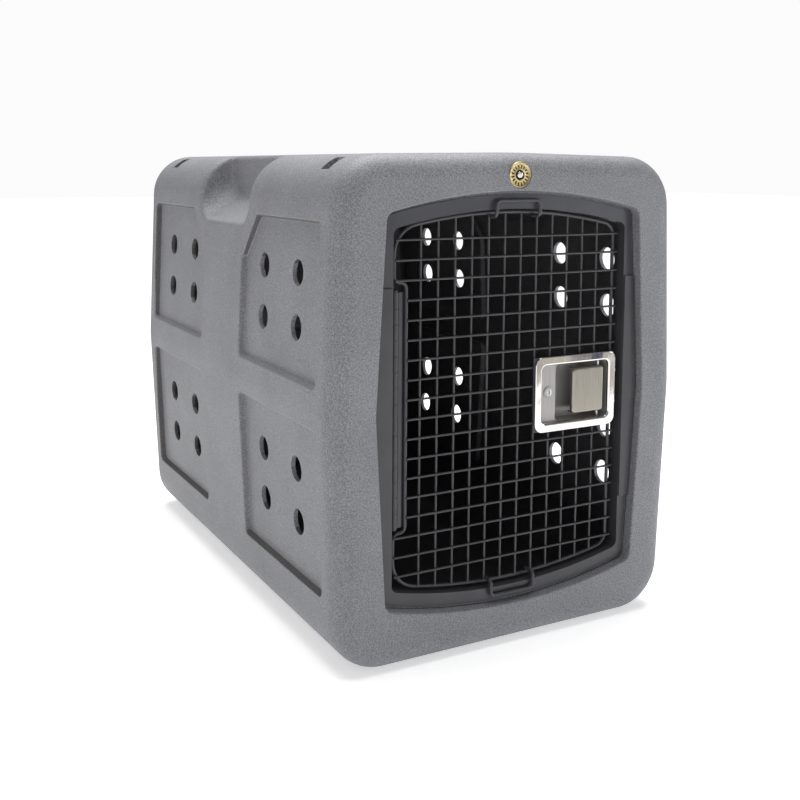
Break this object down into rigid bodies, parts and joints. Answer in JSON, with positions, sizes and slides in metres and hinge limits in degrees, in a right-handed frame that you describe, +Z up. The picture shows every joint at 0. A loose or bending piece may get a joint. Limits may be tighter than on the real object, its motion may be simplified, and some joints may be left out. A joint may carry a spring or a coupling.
{
  "type": "pet transport carrier",
  "caption": "Hard-sided pet transport kennel with recessed vented side panels, a framed wire-mesh door on a long hinge and a recessed locking paddle latch.",
  "frame": {"origin": "middle of the base, on the surface it stands on", "axes": "+Z up, -Y towards the door end, +X towards the latch side of the door"},
  "size_m": [0.5478, 0.813, 0.6557],
  "materials": {
    "shell_plastic": "speckled grey, lightly textured rotomoulded polyethylene",
    "powder_coat": "dark charcoal powder coat, satin",
    "polished_steel": "polished stainless steel",
    "brushed_steel": "brushed stainless steel",
    "zinc_steel": "zinc-plated steel",
    "brass": "stamped brass, aged in the recesses",
    "rubber": "black rubber",
    "dark_plastic": "black moulded plastic"
  },
  "bodies": {
    "kennel": {"kennel_body": "shell_plastic", "door_frame": "powder_coat", "hinge_stile_plate": "powder_coat", "strike_stile_plate": "powder_coat", "frame_studs": "zinc_steel", "frame_washers": "zinc_steel", "frame_nuts": "zinc_steel", "strike_plate": "zinc_steel", "strike_rivets": "zinc_steel", "hinge_frame_leaf": "powder_coat", "hinge_rivets": "zinc_steel", "hinge_pin": "powder_coat", "medallion": "brass", "medallion_rivet": "polished_steel", "drain_bushing": "dark_plastic"},
    "door": {"door_rod": "powder_coat", "mesh_rows": "powder_coat", "mesh_columns": "powder_coat", "top_stop_loop": "powder_coat", "bottom_stop_loop": "powder_coat", "hinge_door_leaf": "powder_coat", "latch_mount_plate": "powder_coat", "latch_gasket": "rubber", "latch_pan": "polished_steel", "latch_studs": "zinc_steel", "latch_nuts": "zinc_steel", "latch_housing": "zinc_steel", "housing_rivets": "zinc_steel", "paddle_pin": "zinc_steel", "paddle_spring": "zinc_steel", "lock_barrel": "polished_steel", "lock_nut": "zinc_steel"},
    "paddle": {"paddle": "brushed_steel"},
    "latch_bolt": {"latch_bolt": "zinc_steel"},
    "lock_plug": {"lock_plug": "zinc_steel", "lock_cam": "zinc_steel", "cam_screw": "zinc_steel"},
    "drain_plug": {"drain_plug": "dark_plastic", "drain_seal": "rubber"}
  },
  "joints": [
    {"name": "door_hinge", "type": "hinge", "parent": "kennel", "child": "door", "pos_m": [-0.173, -0.3813, 0.33], "axis": [0, 0, -1], "range_deg": [0, 95]},
    {"name": "paddle_pull", "type": "hinge", "parent": "door", "child": "paddle", "pos_m": [0.152, -0.3796, 0.33], "axis": [0, 0, 1], "range_deg": [0, 30], "stiffness_Nm_per_rad": 0.3, "springref_deg": -17.19},
    {"name": "bolt_slide", "type": "slide", "parent": "door", "child": "latch_bolt", "axis": [-1, 0, 0], "range_m": [0, 0.0122]},
    {"name": "lock_turn", "type": "hinge", "parent": "door", "child": "lock_plug", "pos_m": [0.065, -0.37, 0.3315], "axis": [0, -1, 0], "range_deg": [0, 90]},
    {"name": "drain_plug_pull", "type": "slide", "parent": "kennel", "child": "drain_plug", "axis": [0, 1, 0], "range_m": [0, 0.02]}
  ],
  "couplings": [
    {"joint": "bolt_slide", "follows": "paddle_pull", "m_per_rad": 0.023}
  ]
}
